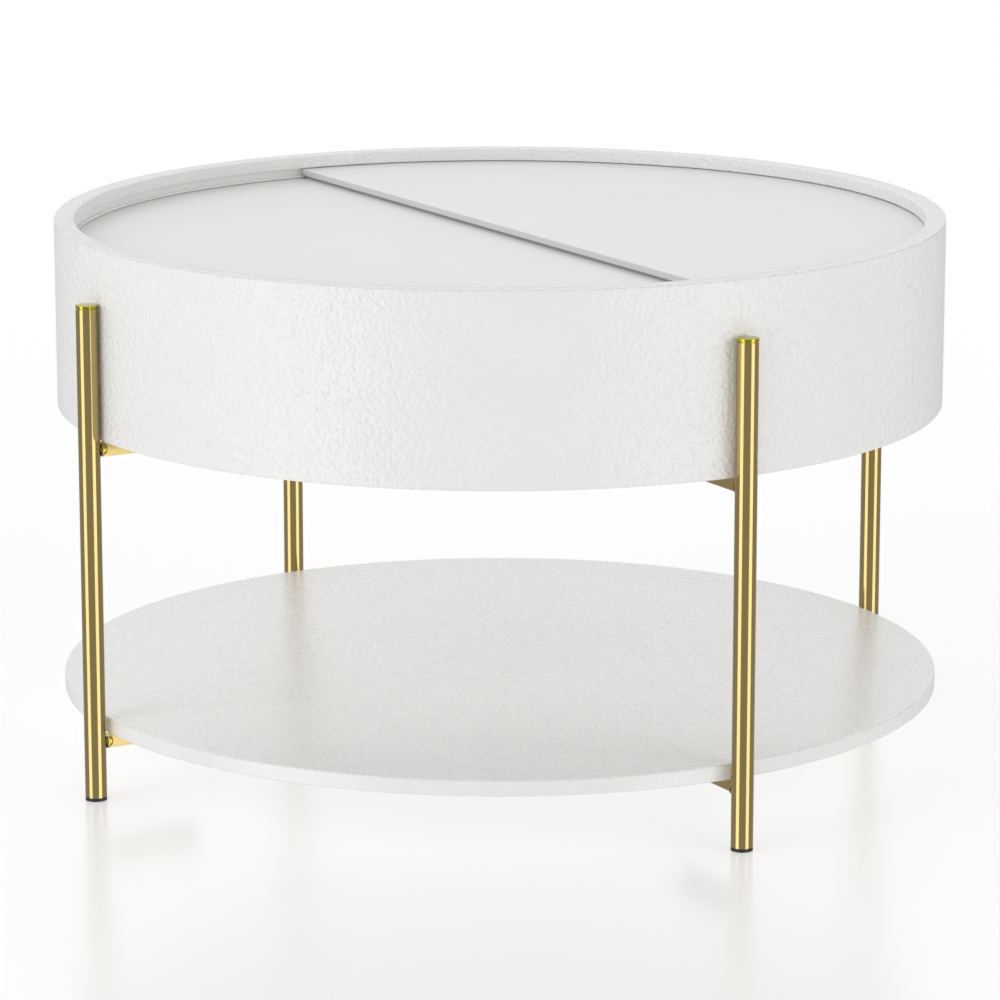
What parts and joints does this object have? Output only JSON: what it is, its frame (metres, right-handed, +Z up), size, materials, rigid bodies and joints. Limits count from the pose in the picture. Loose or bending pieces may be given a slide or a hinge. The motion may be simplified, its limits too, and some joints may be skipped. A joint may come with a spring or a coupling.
{
  "type": "round storage coffee table",
  "caption": "Round white drum coffee table on gold tube legs, with a low shelf and half-moon lids that turn over each other to open the store inside.",
  "frame": {"origin": "on the floor, on the drum's vertical axis", "axes": "+Z up; the seam between the lids lies along Y; the raised upper lid is on the +X side; the legs stand on the X and Y axes"},
  "size_m": [0.8396, 0.8396, 0.4895],
  "materials": {
    "skin": "white imitation leather, fine pebble grain, semi-gloss",
    "board": "white faced fibreboard, satin",
    "felt": "light grey felt",
    "gold_tube": "gold plated steel tube, polished",
    "gold_cap": "gold plated, polished",
    "gold_bracket": "gold plated folded plate, satin",
    "foot": "black moulded plastic",
    "zinc": "zinc plated steel"
  },
  "bodies": {
    "table": {"drum_hoop": "board", "liner_band": "board", "track_rib": "board", "track_stops": "board", "drum_floor": "board", "divider": "board", "shelf": "board", "drum_cover": "skin", "shelf_cover": "skin", "divider_felt": "felt", "leg_right": "gold_tube", "leg_cap_right": "gold_cap", "leg_foot_right": "foot", "drum_bracket_right": "gold_bracket", "shelf_bracket_right": "gold_bracket", "leg_back": "gold_tube", "leg_cap_back": "gold_cap", "leg_foot_back": "foot", "drum_bracket_back": "gold_bracket", "shelf_bracket_back": "gold_bracket", "leg_left": "gold_tube", "leg_cap_left": "gold_cap", "leg_foot_left": "foot", "drum_bracket_left": "gold_bracket", "shelf_bracket_left": "gold_bracket", "leg_front": "gold_tube", "leg_cap_front": "gold_cap", "leg_foot_front": "foot", "drum_bracket_front": "gold_bracket", "shelf_bracket_front": "gold_bracket", "leg_bolts": "gold_cap", "rivet_nuts": "gold_cap", "drum_bracket_screws": "zinc", "shelf_bracket_screws": "zinc", "wall_screws": "zinc", "divider_screws": "zinc"},
    "upper_lid_body": {"upper_lid": "board", "upper_lid_cover": "skin"},
    "lower_lid_body": {"lower_lid": "board", "lower_lid_cover": "skin", "seam_felt": "felt"}
  },
  "joints": [
    {"name": "upper_lid_turn", "type": "hinge", "parent": "table", "child": "upper_lid_body", "pos_m": [0, 0, 0.4744], "axis": [0, 0, 1], "range_deg": [0, 178.5]},
    {"name": "lower_lid_turn", "type": "hinge", "parent": "table", "child": "lower_lid_body", "pos_m": [0, 0, 0.4656], "axis": [0, 0, 1], "range_deg": [-178.5, 0]}
  ]
}
